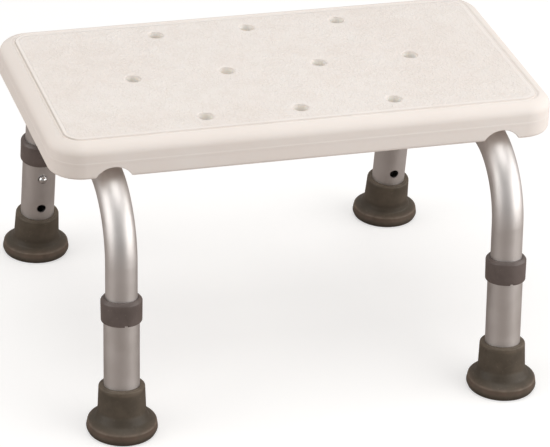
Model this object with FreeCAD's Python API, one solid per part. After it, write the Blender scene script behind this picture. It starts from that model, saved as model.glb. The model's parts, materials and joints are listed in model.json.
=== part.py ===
import FreeCAD, Part
import math
import os

from FreeCAD import Vector

# Low bath stool: a hollow moulded seat bolted to two bent aluminium tubes, whose four upper legs
# slide in height-adjustable leg tubes that stand on rubber tips.
# The origin is on the floor below the seat's centre. +X runs along the seat's long side to the
# right, +Y runs to the rear and +Z is up. Lengths are in millimetres and angles in degrees.
# A station is a distance along a leg's axis, measured up from the floor.

ORIGIN = Vector(0, 0, 0)
RIGHT = Vector(1, 0, 0)
REAR = Vector(0, 1, 0)
UP = Vector(0, 0, 1)
FULL_TURN = 360.0
HALF_TURN = 180.0
QUARTER_TURN = 90.0
ARC_MIDDLE = math.sqrt(0.5)     # a quarter arc's middle, along either axis, as a share of its radius
MARGIN = 5.0                    # how far a cutter reaches past the face that it cuts

# Seat board
SEAT_LENGTH = 414.0
SEAT_DEPTH = 220.0
SEAT_THICKNESS = 30.0
SEAT_BOTTOM_Z = 201.5
SEAT_TOP_Z = SEAT_BOTTOM_Z + SEAT_THICKNESS
SEAT_CORNER_RADIUS = 26.0
SEAT_WALL = 3.0
TOP_EDGE_REACH = 13.0           # the rounded top edge, inward from the side
TOP_EDGE_DROP = 9.5             # the rounded top edge, down from the top
BOTTOM_EDGE_RADIUS = 3.5
CORNER_X = SEAT_LENGTH / 2 - SEAT_CORNER_RADIUS
CORNER_Y = SEAT_DEPTH / 2 - SEAT_CORNER_RADIUS

# Parting line round the side of the seat, and groove round its top
RIDGE_Z = 215.5
RIDGE_HALF_WIDTH = 0.7
RIDGE_HEIGHT = 0.25
RIDGE_ROOT = 0.5
GROOVE_INSET = 11.0
GROOVE_RADIUS = 1.0

# Drain holes: rows of three, four and three, set half a pitch apart
DRAIN_PITCH = 78.0
DRAIN_ROW_SPACING = 76.6
DRAIN_RADIUS = 5.75
DRAIN_RIM_RADIUS = 2.0
MIDDLE_ROW_COUNT = 4
OUTER_ROW_COUNT = 3

# Stiffening troughs moulded up into the seat's underside
TROUGH_LENGTH = 210.0
TROUGH_WIDTH = 16.0
TROUGH_DEPTH = 8.0
TROUGH_Y = DRAIN_ROW_SPACING / 2

# Frame tubes: an inverted U at each end of the seat
TUBE_RADIUS = 12.7
TUBE_WALL = 1.2
TUBE_X = 159.5
RUN_Z = 194.0
BEND_RADIUS = 59.5
FOOT_Y = 152.0
LEG_SPLAY = 6.0
TUBE_END_STATION = 60.0
SPLAY_SIN = math.sin(math.radians(LEG_SPLAY))
SPLAY_COS = math.cos(math.radians(LEG_SPLAY))
BEND_Z = RUN_Z - BEND_RADIUS
TANGENT_STATION = (BEND_Z + BEND_RADIUS * SPLAY_SIN) / SPLAY_COS
BEND_Y = FOOT_Y - TANGENT_STATION * SPLAY_SIN - BEND_RADIUS * SPLAY_COS

# Channels and notches in the seat for the frame tubes
CHANNEL_CLEARANCE = 0.05
CHANNEL_RADIUS = TUBE_RADIUS + CHANNEL_CLEARANCE
NOTCH_RADIUS = 16.8
NOTCH_FLARE_RADIUS = 3.5
NOTCH_DEPTH = 18.0

# Frame bolts: M6, from below through the tube's run into brass inserts in the seat
BOLT_Y = 45.0
BOLT_RADIUS = 3.0
BOLT_LENGTH = 40.0
BOLT_HEAD_RADIUS = 6.0
BOLT_HEAD_HEIGHT = 3.6
BOLT_HEAD_EDGE = 1.6
RECESS_LENGTH = 6.4
RECESS_WIDTH = 1.2
RECESS_DEPTH = 2.2
BOLT_HOLE_RADIUS = 3.3
SADDLE_THICKNESS = 2.0
SADDLE_RADIUS = 8.5
SADDLE_CRADLE = 3.7             # how far the saddle washer's edge rises beside the tube
SADDLE_TOP_Z = RUN_Z - TUBE_RADIUS + SADDLE_CRADLE
SADDLE_BOTTOM_Z = RUN_Z - TUBE_RADIUS - SADDLE_THICKNESS
INSERT_RADIUS = 4.5
INSERT_LENGTH = 12.0
INSERT_BOTTOM_Z = 207.0
INSERT_TOP_Z = INSERT_BOTTOM_Z + INSERT_LENGTH
INSERT_GROOVES = 2
INSERT_GROOVE_DEPTH = 0.4
INSERT_GROOVE_WIDTH = 1.2
BOSS_RADIUS = 10.0
BOLT_END_ROOM = 3.0

# Leg tubes, with two adjustment holes each
SLIDE_CLEARANCE = 0.08
LEG_RADIUS = 14.2875
LEG_BORE_RADIUS = TUBE_RADIUS + SLIDE_CLEARANCE
LEG_BOTTOM_STATION = 11.0
LEG_TOP_STATION = 110.0
LEG_HOLE_RADIUS = 3.9
BUTTON_STATION = 81.0
HOLE_PITCH = 30.0

# Collars on the leg tubes' tops
COLLAR_RADIUS = 16.5
COLLAR_BOTTOM_STATION = 94.0
COLLAR_TOP_STATION = 114.0
COLLAR_CHAMFER = 1.5
COLLAR_LOW_CHAMFER = 0.75
COLLAR_LIP_CLEARANCE = 0.1
COLLAR_LIP_RADIUS = TUBE_RADIUS + COLLAR_LIP_CLEARANCE
COLLAR_NOTCH_WIDTH = 3.0
COLLAR_NOTCH_HEIGHT = 1.6

# Rubber tips
SLEEVE_TOP_STATION = 39.5
SLEEVE_TOP_RADIUS = 18.4
SLEEVE_BASE_RADIUS = 19.7
SLEEVE_BASE_STATION = 4.0
SLEEVE_EDGE = 1.2
SOCKET_FLOOR_STATION = 9.5
FLANGE_RADIUS = 28.5
FLANGE_WIDEST_Z = 3.4
FLANGE_BASE_RADIUS = 26.7
FLANGE_LOW_RADIUS = 28.05       # between the base and the widest ring
FLANGE_LOW_Z = 1.35
FLANGE_UPPER_RADIUS = 28.1      # between the widest ring and the rim
FLANGE_UPPER_Z = 6.3
FLANGE_RIM_RADIUS = 26.4
FLANGE_RIM_Z = 9.2
FLANGE_CROWN_RADIUS = 17.2
FLANGE_CROWN_Z = 14.5
FLANGE_FILLET = 3.0
TREAD_RADII = (9.0, 15.0, 21.0)
TREAD_WIDTH = 1.8
TREAD_DEPTH = 1.2
TIP_WASHER_RADIUS = 14.0

# Snap buttons, measured out from the leg's axis, and their leaf springs
BUTTON_RADIUS = 3.5
BUTTON_HOLE_RADIUS = 3.65
BUTTON_TOP = 18.3
BUTTON_SHOULDER = 16.2
BUTTON_CROWN_RADIUS = 0.5       # the small flat on top of the dome
BUTTON_FLANGE_RADIUS = 4.7
BUTTON_FLANGE_TOP = 10.4
SPRING_FACE = 9.3
SPRING_THICKNESS = 0.7
SPRING_WIDTH = 8.0
SPRING_TIP_STATION = 73.0
SPRING_KNEE_STATION = 90.0
SPRING_BEND_STATION = 112.0
SPRING_BEND_RADIUS = 3.0
SPRING_REACH = 10.6
SPRING_HEEL_STATION = 76.0
SPRING_CURL_REACH = 9.0
SPRING_CURL_STATION = 71.0
RIVET_RADIUS = 1.5
RIVET_HOLE_RADIUS = 1.6
RIVET_HEAD_RADIUS = 2.4
RIVET_HEAD_BOTTOM = 7.8

LEGS = {
    "front_left": (-1, -1),
    "front_right": (1, -1),
    "rear_left": (-1, 1),
    "rear_right": (1, 1),
}


def outline(points):
    """A face in the XZ plane. A pair is a corner, and four values are an arc's middle and its end."""
    edges = []
    start = Vector(points[0][0], 0, points[0][1])
    here = start
    for point in points[1:] + [points[0]]:
        end = Vector(point[-2], 0, point[-1])
        if len(point) == 4:
            edges.append(Part.Arc(here, Vector(point[0], 0, point[1]), end).toShape())
        elif here.distanceToPoint(end) > 0:
            edges.append(Part.LineSegment(here, end).toShape())
        here = end
    return Part.Face(Part.Wire(edges))


def lathe(points):
    """The outline turned about the Z axis."""
    return outline(points).revolve(ORIGIN, UP, FULL_TURN)


def cylinder(radius, start, end):
    """A round bar from start to end."""
    return Part.makeCylinder(radius, start.distanceToPoint(end), start, end - start)


def on_leg(shape, leg):
    """A shape drawn about an upright axis at the origin, its inner side towards -Y, set on a leg."""
    side_x, side_y = LEGS[leg]
    placed = shape.copy()
    placed.rotate(ORIGIN, RIGHT, LEG_SPLAY)
    placed.translate(Vector(side_x * side_y * TUBE_X, FOOT_Y, 0))
    if side_y < 0:
        placed.rotate(ORIGIN, UP, HALF_TURN)
    return placed


def at_foot(shape, leg):
    """A shape drawn upright at the origin, moved to the middle of a leg's foot."""
    side_x, side_y = LEGS[leg]
    placed = shape.copy()
    placed.translate(Vector(side_x * TUBE_X, side_y * FOOT_Y, 0))
    return placed


def at_bolt(shape, leg):
    """A shape drawn upright at the origin, moved to the frame bolt beside a leg."""
    side_x, side_y = LEGS[leg]
    placed = shape.copy()
    placed.translate(Vector(side_x * TUBE_X, side_y * BOLT_Y, 0))
    return placed


def carried_round(face):
    """Solids of a face in the XZ plane, X measured out from a corner's axis, carried round the seat."""
    corners = [
        Vector(CORNER_X, CORNER_Y, 0),
        Vector(-CORNER_X, CORNER_Y, 0),
        Vector(-CORNER_X, -CORNER_Y, 0),
        Vector(CORNER_X, -CORNER_Y, 0),
    ]
    solids = []
    for turn, corner in enumerate(corners):
        following = corners[(turn + 1) % len(corners)]
        section = face.copy()
        section.rotate(ORIGIN, UP, QUARTER_TURN * turn)
        section.translate(corner)
        solids.append(section.revolve(corner, UP, QUARTER_TURN))
        section.rotate(corner, UP, QUARTER_TURN)
        solids.append(section.extrude(following - corner))
    return solids


def seat_form(inset):
    """The seat's rounded block, drawn in by the same distance on every side."""
    bottom = SEAT_BOTTOM_Z + inset
    top = SEAT_TOP_Z - inset
    side = SEAT_CORNER_RADIUS - inset
    reach = TOP_EDGE_REACH - inset
    drop = TOP_EDGE_DROP - inset
    low_radius = BOTTOM_EDGE_RADIUS - inset
    low_middle = low_radius * (1 - ARC_MIDDLE)
    rounding = Part.Ellipse(
        Vector(side, 0, top - drop),
        Vector(side - reach, 0, top),
        Vector(side - reach, 0, top - drop),
    )
    top_edge = rounding.toShape(0, math.pi / 2)
    ends = [top_edge.Vertexes[0].Point, top_edge.Vertexes[-1].Point]
    low_arc = Part.Arc(
        Vector(side - low_radius, 0, bottom),
        Vector(side - low_middle, 0, bottom + low_middle),
        Vector(side, 0, bottom + low_radius),
    )
    edges = [
        Part.LineSegment(Vector(0, 0, bottom), Vector(side - low_radius, 0, bottom)).toShape(),
        low_arc.toShape(),
        Part.LineSegment(Vector(side, 0, bottom + low_radius), ends[0]).toShape(),
        top_edge,
        Part.LineSegment(ends[1], Vector(0, 0, top)).toShape(),
        Part.LineSegment(Vector(0, 0, top), Vector(0, 0, bottom)).toShape(),
    ]
    face = Part.Face(Part.Wire(edges))
    core = Part.makeBox(2 * CORNER_X, 2 * CORNER_Y, top - bottom, Vector(-CORNER_X, -CORNER_Y, bottom))
    return core.multiFuse(carried_round(face)).removeSplitter()


def drain_places():
    """The middles of the drain holes on the floor plane."""
    places = []
    for row, count in ((-1, OUTER_ROW_COUNT), (0, MIDDLE_ROW_COUNT), (1, OUTER_ROW_COUNT)):
        for number in range(count):
            x = (number - (count - 1) / 2) * DRAIN_PITCH
            places.append(Vector(x, row * DRAIN_ROW_SPACING, 0))
    return places


def drain_cutter():
    """A drain hole with a rounded rim, at the origin."""
    rim = DRAIN_RADIUS + DRAIN_RIM_RADIUS
    middle = DRAIN_RIM_RADIUS * ARC_MIDDLE
    return lathe([
        (0, SEAT_BOTTOM_Z - MARGIN),
        (DRAIN_RADIUS, SEAT_BOTTOM_Z - MARGIN),
        (DRAIN_RADIUS, SEAT_TOP_Z - DRAIN_RIM_RADIUS),
        (rim - middle, SEAT_TOP_Z - DRAIN_RIM_RADIUS + middle, rim, SEAT_TOP_Z),
        (rim, SEAT_TOP_Z + MARGIN),
        (0, SEAT_TOP_Z + MARGIN),
    ])


def trough(side_y, growth):
    """A long round-ended trough in the underside, grown on every side."""
    half_width = TROUGH_WIDTH / 2 + growth
    half_run = TROUGH_LENGTH / 2 - TROUGH_WIDTH / 2
    height = TROUGH_DEPTH + growth + MARGIN
    base = Vector(0, side_y * TROUGH_Y, SEAT_BOTTOM_Z - MARGIN)
    corner = base + Vector(-half_run, -half_width, 0)
    middle = Part.makeBox(2 * half_run, 2 * half_width, height, corner)
    ends = []
    for end in (-half_run, half_run):
        ends.append(Part.makeCylinder(half_width, height, base + Vector(end, 0, 0)))
    return middle.multiFuse(ends).removeSplitter()


def notch_cutter(leg):
    """The arch in the seat's side over a bent tube, with flared lower corners."""
    side_x, side_y = LEGS[leg]
    centre_gap = NOTCH_RADIUS + NOTCH_FLARE_RADIUS
    flare_rise = SEAT_BOTTOM_Z + NOTCH_FLARE_RADIUS - RUN_Z
    flare_x = math.sqrt(centre_gap ** 2 - flare_rise ** 2)
    foot_x = flare_x * NOTCH_RADIUS / centre_gap
    foot_z = RUN_Z + flare_rise * NOTCH_RADIUS / centre_gap
    flare_angle = (math.atan2(flare_rise, flare_x) + math.pi / 2) / 2
    middle_x = flare_x - NOTCH_FLARE_RADIUS * math.cos(flare_angle)
    middle_z = SEAT_BOTTOM_Z + NOTCH_FLARE_RADIUS - NOTCH_FLARE_RADIUS * math.sin(flare_angle)
    arch = outline([
        (-flare_x, SEAT_BOTTOM_Z - MARGIN),
        (flare_x, SEAT_BOTTOM_Z - MARGIN),
        (flare_x, SEAT_BOTTOM_Z),
        (middle_x, middle_z, foot_x, foot_z),
        (0, RUN_Z + NOTCH_RADIUS, -foot_x, foot_z),
        (-middle_x, middle_z, -flare_x, SEAT_BOTTOM_Z),
    ])
    arch.translate(Vector(side_x * TUBE_X, side_y * (SEAT_DEPTH / 2 - NOTCH_DEPTH), 0))
    return arch.extrude(Vector(0, side_y * (NOTCH_DEPTH + MARGIN), 0))


def seat_board():
    """The blow-moulded seat: a thin-walled hollow board with moulded-through drain holes."""
    top_of_ridge = SEAT_CORNER_RADIUS + RIDGE_HEIGHT
    ridge = outline([
        (SEAT_CORNER_RADIUS - RIDGE_ROOT, RIDGE_Z - RIDGE_HALF_WIDTH),
        (SEAT_CORNER_RADIUS, RIDGE_Z - RIDGE_HALF_WIDTH),
        (top_of_ridge, RIDGE_Z, SEAT_CORNER_RADIUS, RIDGE_Z + RIDGE_HALF_WIDTH),
        (SEAT_CORNER_RADIUS - RIDGE_ROOT, RIDGE_Z + RIDGE_HALF_WIDTH),
    ])
    board = seat_form(0).multiFuse(carried_round(ridge)).removeSplitter()
    groove_middle = Vector(SEAT_CORNER_RADIUS - GROOVE_INSET, 0, SEAT_TOP_Z)
    groove_edge = Part.Circle(groove_middle, REAR, GROOVE_RADIUS).toShape()
    groove = carried_round(Part.Face(Part.Wire(groove_edge)))

    kept = []                   # what stays solid inside the hollow
    cut = list(groove)
    for place in drain_places():
        kept.append(cylinder(DRAIN_RADIUS + SEAT_WALL, place, place + UP * (SEAT_TOP_Z + MARGIN)))
        cutter = drain_cutter()
        cutter.translate(place)
        cut.append(cutter)
    for side_y in (-1, 1):
        kept.append(trough(side_y, SEAT_WALL))
        cut.append(trough(side_y, 0))
    for side_x in (-1, 1):
        front = Vector(side_x * TUBE_X, -SEAT_DEPTH / 2 - MARGIN, RUN_Z)
        rear = Vector(side_x * TUBE_X, SEAT_DEPTH / 2 + MARGIN, RUN_Z)
        kept.append(cylinder(CHANNEL_RADIUS + SEAT_WALL, front, rear))
        cut.append(cylinder(CHANNEL_RADIUS, front, rear))
    for leg, (side_x, side_y) in LEGS.items():
        inner = Vector(side_x * TUBE_X, side_y * (SEAT_DEPTH / 2 - NOTCH_DEPTH - SEAT_WALL), RUN_Z)
        outer = Vector(side_x * TUBE_X, side_y * (SEAT_DEPTH / 2 + MARGIN), RUN_Z)
        kept.append(cylinder(NOTCH_RADIUS + SEAT_WALL, inner, outer))
        cut.append(notch_cutter(leg))
        kept.append(at_bolt(cylinder(BOSS_RADIUS, UP * RUN_Z, UP * SEAT_TOP_Z), leg))
        cut.append(at_bolt(cylinder(INSERT_RADIUS, UP * RUN_Z, UP * INSERT_TOP_Z), leg))
        room = cylinder(BOLT_HOLE_RADIUS, UP * RUN_Z, UP * (INSERT_TOP_Z + BOLT_END_ROOM))
        cut.append(at_bolt(room, leg))
    hollow = seat_form(SEAT_WALL).cut(kept)
    return board.cut(cut).cut(hollow)


def frame_tube(side_x):
    """An inverted U of round tube: two splayed upper legs, two bends and the run under the seat."""
    x = side_x * TUBE_X
    turn = math.radians((LEG_SPLAY + QUARTER_TURN) / 2)
    points = {}
    for side_y in (-1, 1):
        end_y = side_y * (FOOT_Y - TUBE_END_STATION * SPLAY_SIN)
        tangent_y = side_y * (FOOT_Y - TANGENT_STATION * SPLAY_SIN)
        middle_y = side_y * (BEND_Y + BEND_RADIUS * math.cos(turn))
        points[side_y] = [
            Vector(x, end_y, TUBE_END_STATION * SPLAY_COS),
            Vector(x, tangent_y, TANGENT_STATION * SPLAY_COS),
            Vector(x, middle_y, BEND_Z + BEND_RADIUS * math.sin(turn)),
            Vector(x, side_y * BEND_Y, RUN_Z),
        ]
    front_end, front_tangent, front_middle, front_top = points[-1]
    rear_end, rear_tangent, rear_middle, rear_top = points[1]
    path = Part.Wire([
        Part.LineSegment(front_end, front_tangent).toShape(),
        Part.Arc(front_tangent, front_middle, front_top).toShape(),
        Part.LineSegment(front_top, rear_top).toShape(),
        Part.Arc(rear_top, rear_middle, rear_tangent).toShape(),
        Part.LineSegment(rear_tangent, rear_end).toShape(),
    ])
    along = front_tangent - front_end
    outside = Part.Wire(Part.Circle(front_end, along, TUBE_RADIUS).toShape())
    inside = Part.Wire(Part.Circle(front_end, along, TUBE_RADIUS - TUBE_WALL).toShape())
    tube = path.makePipe(Part.Face(outside)).cut(path.makePipe(Part.Face(inside)))
    cut = []
    for leg, (leg_side, _) in LEGS.items():
        if leg_side == side_x:
            low = UP * (RUN_Z - TUBE_RADIUS - MARGIN)
            high = UP * (RUN_Z + TUBE_RADIUS + MARGIN)
            cut.append(at_bolt(cylinder(BOLT_HOLE_RADIUS, low, high), leg))
            cut.append(on_leg(inner_side_hole(BUTTON_HOLE_RADIUS, BUTTON_STATION), leg))
    return tube.cut(cut)


def inner_side_hole(radius, station):
    """A cutter for a hole through the inner wall of a leg, at a station on the leg's axis."""
    axis_point = UP * station
    return cylinder(radius, axis_point, axis_point - REAR * (LEG_RADIUS + MARGIN))


def leg_tube(leg):
    """The lower leg tube, with one adjustment hole per height setting."""
    tube = lathe([
        (LEG_BORE_RADIUS, LEG_BOTTOM_STATION),
        (LEG_RADIUS, LEG_BOTTOM_STATION),
        (LEG_RADIUS, LEG_TOP_STATION),
        (LEG_BORE_RADIUS, LEG_TOP_STATION),
    ])
    holes = []
    for station in (BUTTON_STATION, BUTTON_STATION - HOLE_PITCH):
        holes.append(inner_side_hole(LEG_HOLE_RADIUS, station))
    return on_leg(tube.cut(holes), leg)


def collar(leg):
    """The plastic collar on the leg tube, with a lip that centres the upper tube."""
    ring = lathe([
        (LEG_RADIUS, COLLAR_BOTTOM_STATION),
        (COLLAR_RADIUS - COLLAR_LOW_CHAMFER, COLLAR_BOTTOM_STATION),
        (COLLAR_RADIUS, COLLAR_BOTTOM_STATION + COLLAR_CHAMFER),
        (COLLAR_RADIUS, COLLAR_TOP_STATION - COLLAR_CHAMFER),
        (COLLAR_RADIUS - COLLAR_CHAMFER, COLLAR_TOP_STATION),
        (COLLAR_LIP_RADIUS, COLLAR_TOP_STATION),
        (COLLAR_LIP_RADIUS, LEG_TOP_STATION),
        (LEG_RADIUS, LEG_TOP_STATION),
    ])
    low_corner = Vector(-COLLAR_NOTCH_WIDTH / 2, 0, COLLAR_BOTTOM_STATION - MARGIN)
    notch = Part.makeBox(
        COLLAR_NOTCH_WIDTH,
        COLLAR_RADIUS + MARGIN,
        COLLAR_NOTCH_HEIGHT + MARGIN,
        low_corner,
    )
    return on_leg(ring.cut(notch), leg)


def rubber_tip(leg):
    """The rubber tip: a tapered sleeve along the leg, on a flared foot that lies flat on the floor."""
    sleeve = lathe([
        (0, SLEEVE_BASE_STATION),
        (SLEEVE_BASE_RADIUS, SLEEVE_BASE_STATION),
        (SLEEVE_TOP_RADIUS, SLEEVE_TOP_STATION - SLEEVE_EDGE),
        (SLEEVE_TOP_RADIUS - SLEEVE_EDGE, SLEEVE_TOP_STATION),
        (0, SLEEVE_TOP_STATION),
    ])
    flange = lathe([
        (0, 0),
        (FLANGE_BASE_RADIUS, 0),
        (FLANGE_LOW_RADIUS, FLANGE_LOW_Z, FLANGE_RADIUS, FLANGE_WIDEST_Z),
        (FLANGE_UPPER_RADIUS, FLANGE_UPPER_Z, FLANGE_RIM_RADIUS, FLANGE_RIM_Z),
        (FLANGE_CROWN_RADIUS, FLANGE_CROWN_Z),
        (0, FLANGE_CROWN_Z),
    ])
    body = on_leg(sleeve, leg).fuse(at_foot(flange, leg))
    meeting = []
    for edge in body.Edges:
        box = edge.BoundBox
        if box.ZMin > FLANGE_RIM_Z and box.ZMax < SLEEVE_TOP_STATION / 2:
            meeting.append(edge)
    body = body.makeFillet(FLANGE_FILLET, meeting)
    socket = cylinder(LEG_RADIUS, UP * SOCKET_FLOOR_STATION, UP * (SLEEVE_TOP_STATION + MARGIN))
    cut = [on_leg(socket, leg)]
    for radius in TREAD_RADII:
        groove = lathe([
            (radius - TREAD_WIDTH / 2, -MARGIN),
            (radius + TREAD_WIDTH / 2, -MARGIN),
            (radius + TREAD_WIDTH / 2, TREAD_DEPTH),
            (radius - TREAD_WIDTH / 2, TREAD_DEPTH),
        ])
        cut.append(at_foot(groove, leg))
    return body.cut(cut)


def tip_washer(leg):
    """The steel disc that keeps the leg tube's end from cutting through the rubber."""
    return on_leg(cylinder(TIP_WASHER_RADIUS, UP * SOCKET_FLOOR_STATION, UP * LEG_BOTTOM_STATION), leg)


def snap_button(leg):
    """The domed button with its inner flange and the rivet that fastens it to the spring."""
    rise = BUTTON_TOP - BUTTON_SHOULDER
    dome_radius = (BUTTON_RADIUS ** 2 + rise ** 2) / (2 * rise)
    dome_angle = math.asin(BUTTON_RADIUS / dome_radius) / 2
    dome_middle = BUTTON_TOP - dome_radius * (1 - math.cos(dome_angle))
    button = lathe([
        (0, RIVET_HEAD_BOTTOM),
        (RIVET_HEAD_RADIUS, RIVET_HEAD_BOTTOM),
        (RIVET_HEAD_RADIUS, SPRING_FACE - SPRING_THICKNESS),
        (RIVET_RADIUS, SPRING_FACE - SPRING_THICKNESS),
        (RIVET_RADIUS, SPRING_FACE),
        (BUTTON_FLANGE_RADIUS, SPRING_FACE),
        (BUTTON_FLANGE_RADIUS, BUTTON_FLANGE_TOP),
        (BUTTON_RADIUS, BUTTON_FLANGE_TOP),
        (BUTTON_RADIUS, BUTTON_SHOULDER),
        (dome_radius * math.sin(dome_angle), dome_middle, BUTTON_CROWN_RADIUS, BUTTON_TOP),
        (0, BUTTON_TOP),
    ])
    button.rotate(ORIGIN, RIGHT, QUARTER_TURN)
    button.translate(UP * BUTTON_STATION)
    return on_leg(button, leg)


def button_spring(leg):
    """The V-shaped leaf spring that holds the button out, bent from flat strip."""
    points = [
        Vector(0, -SPRING_FACE, SPRING_TIP_STATION),
        Vector(0, -SPRING_FACE, SPRING_KNEE_STATION),
        Vector(0, -SPRING_BEND_RADIUS, SPRING_BEND_STATION),
        Vector(0, SPRING_BEND_RADIUS, SPRING_BEND_STATION),
        Vector(0, SPRING_REACH, SPRING_HEEL_STATION),
        Vector(0, SPRING_CURL_REACH, SPRING_CURL_STATION),
    ]
    crown = Vector(0, 0, SPRING_BEND_STATION + SPRING_BEND_RADIUS)
    path = Part.Wire([
        Part.LineSegment(points[0], points[1]).toShape(),
        Part.LineSegment(points[1], points[2]).toShape(),
        Part.Arc(points[2], crown, points[3]).toShape(),
        Part.LineSegment(points[3], points[4]).toShape(),
        Part.LineSegment(points[4], points[5]).toShape(),
    ])
    strip = path.makeOffset2D(SPRING_THICKNESS, 0, True, True)
    strip.translate(RIGHT * (-SPRING_WIDTH / 2))
    leaf = strip.extrude(RIGHT * SPRING_WIDTH)
    return on_leg(leaf.cut(inner_side_hole(RIVET_HOLE_RADIUS, BUTTON_STATION)), leg)


def frame_bolt(leg):
    """A pan-head bolt with a cross recess."""
    top_z = SADDLE_BOTTOM_Z + BOLT_LENGTH
    head_z = SADDLE_BOTTOM_Z - BOLT_HEAD_HEIGHT
    bolt = lathe([
        (0, head_z),
        (BOLT_HEAD_RADIUS - BOLT_HEAD_EDGE, head_z),
        (BOLT_HEAD_RADIUS, head_z + BOLT_HEAD_EDGE),
        (BOLT_HEAD_RADIUS, SADDLE_BOTTOM_Z),
        (BOLT_RADIUS, SADDLE_BOTTOM_Z),
        (BOLT_RADIUS, top_z),
        (0, top_z),
    ])
    height = RECESS_DEPTH + MARGIN
    recess = []
    for length, width in ((RECESS_LENGTH, RECESS_WIDTH), (RECESS_WIDTH, RECESS_LENGTH)):
        corner = Vector(-length / 2, -width / 2, head_z - MARGIN)
        recess.append(Part.makeBox(length, width, height, corner))
    return at_bolt(bolt.cut(recess), leg)


def saddle_washer(leg):
    """The spacer with a hollowed top that beds on the round tube and a flat seat for the bolt."""
    side_x = LEGS[leg][0]
    pad = at_bolt(cylinder(SADDLE_RADIUS, UP * SADDLE_BOTTOM_Z, UP * SADDLE_TOP_Z), leg)
    run = cylinder(
        TUBE_RADIUS,
        Vector(side_x * TUBE_X, -SEAT_DEPTH / 2, RUN_Z),
        Vector(side_x * TUBE_X, SEAT_DEPTH / 2, RUN_Z),
    )
    hole = at_bolt(cylinder(BOLT_HOLE_RADIUS, UP * (SADDLE_BOTTOM_Z - MARGIN), UP * RUN_Z), leg)
    return pad.cut([run, hole])


def seat_insert(leg):
    """The threaded brass insert in the seat, with two holding grooves."""
    points = [(BOLT_RADIUS, INSERT_BOTTOM_Z), (INSERT_RADIUS, INSERT_BOTTOM_Z)]
    for number in range(INSERT_GROOVES):
        middle = INSERT_BOTTOM_Z + INSERT_LENGTH * (number + 1) / (INSERT_GROOVES + 1)
        points += [
            (INSERT_RADIUS, middle - INSERT_GROOVE_WIDTH / 2),
            (INSERT_RADIUS - INSERT_GROOVE_DEPTH, middle - INSERT_GROOVE_WIDTH / 2),
            (INSERT_RADIUS - INSERT_GROOVE_DEPTH, middle + INSERT_GROOVE_WIDTH / 2),
            (INSERT_RADIUS, middle + INSERT_GROOVE_WIDTH / 2),
        ]
    points += [(INSERT_RADIUS, INSERT_TOP_Z), (BOLT_RADIUS, INSERT_TOP_Z)]
    return at_bolt(lathe(points), leg)


def build():
    """Every node's name and shape."""
    nodes = {
        "seat_board": seat_board(),
        "frame_tube_left": frame_tube(-1),
        "frame_tube_right": frame_tube(1),
    }
    per_leg = {
        "leg_tube": leg_tube,
        "collar": collar,
        "rubber_tip": rubber_tip,
        "tip_washer": tip_washer,
        "snap_button": snap_button,
        "button_spring": button_spring,
        "frame_bolt": frame_bolt,
        "saddle_washer": saddle_washer,
        "seat_insert": seat_insert,
    }
    for name, make in per_leg.items():
        for leg in LEGS:
            nodes[f"{name}_{leg}"] = make(leg)
    return nodes


os.makedirs("parts", exist_ok=True)
for node, shape in build().items():
    shape.exportStep(f"parts/{node}.step")
    print(f"{node}: {len(shape.Solids)} solid, {shape.Volume:.0f} mm3, valid {shape.isValid()}")
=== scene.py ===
import json
import math

import bmesh
import bpy
from mathutils import Matrix, Vector


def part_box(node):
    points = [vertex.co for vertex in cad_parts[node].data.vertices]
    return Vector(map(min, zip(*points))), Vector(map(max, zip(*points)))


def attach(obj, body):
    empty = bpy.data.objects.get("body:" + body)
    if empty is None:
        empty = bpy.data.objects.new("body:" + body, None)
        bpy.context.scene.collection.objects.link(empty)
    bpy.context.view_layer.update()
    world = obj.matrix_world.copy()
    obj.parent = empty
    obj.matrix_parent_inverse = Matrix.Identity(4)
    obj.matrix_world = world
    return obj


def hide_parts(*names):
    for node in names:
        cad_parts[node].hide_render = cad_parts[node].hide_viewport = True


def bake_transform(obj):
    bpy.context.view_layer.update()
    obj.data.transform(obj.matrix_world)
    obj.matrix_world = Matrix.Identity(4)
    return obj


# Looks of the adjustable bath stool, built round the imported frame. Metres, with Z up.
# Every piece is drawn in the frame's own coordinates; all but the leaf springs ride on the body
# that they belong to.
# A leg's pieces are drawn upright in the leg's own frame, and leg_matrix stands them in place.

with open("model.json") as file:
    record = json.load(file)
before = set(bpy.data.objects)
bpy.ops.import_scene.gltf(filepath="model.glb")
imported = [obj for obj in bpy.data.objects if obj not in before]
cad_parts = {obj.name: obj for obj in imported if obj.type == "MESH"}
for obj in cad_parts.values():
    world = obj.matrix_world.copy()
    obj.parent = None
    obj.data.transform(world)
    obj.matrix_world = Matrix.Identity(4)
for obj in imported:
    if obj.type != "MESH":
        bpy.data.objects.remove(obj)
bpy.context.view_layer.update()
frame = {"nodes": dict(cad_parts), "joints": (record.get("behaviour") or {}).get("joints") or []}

MM = 0.001
LEGS = ("front_left", "front_right", "rear_left", "rear_right")
JOINTS = {joint["name"]: joint for joint in frame["joints"]}
ARC_STEPS = 6                       # segments in each small rounded edge
TURN_STEPS = 72                     # segments round a turned piece
SMALL_TURN_STEPS = 48               # segments round a small turned piece or hole
AXIS_RADIUS = 0.05 * MM             # where a turned profile starts, just off its axis
HAIR = 0.01 * MM                    # too little to see, and enough to keep level faces apart


# ---------------------------------------------------------------- outlines and meshes

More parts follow.
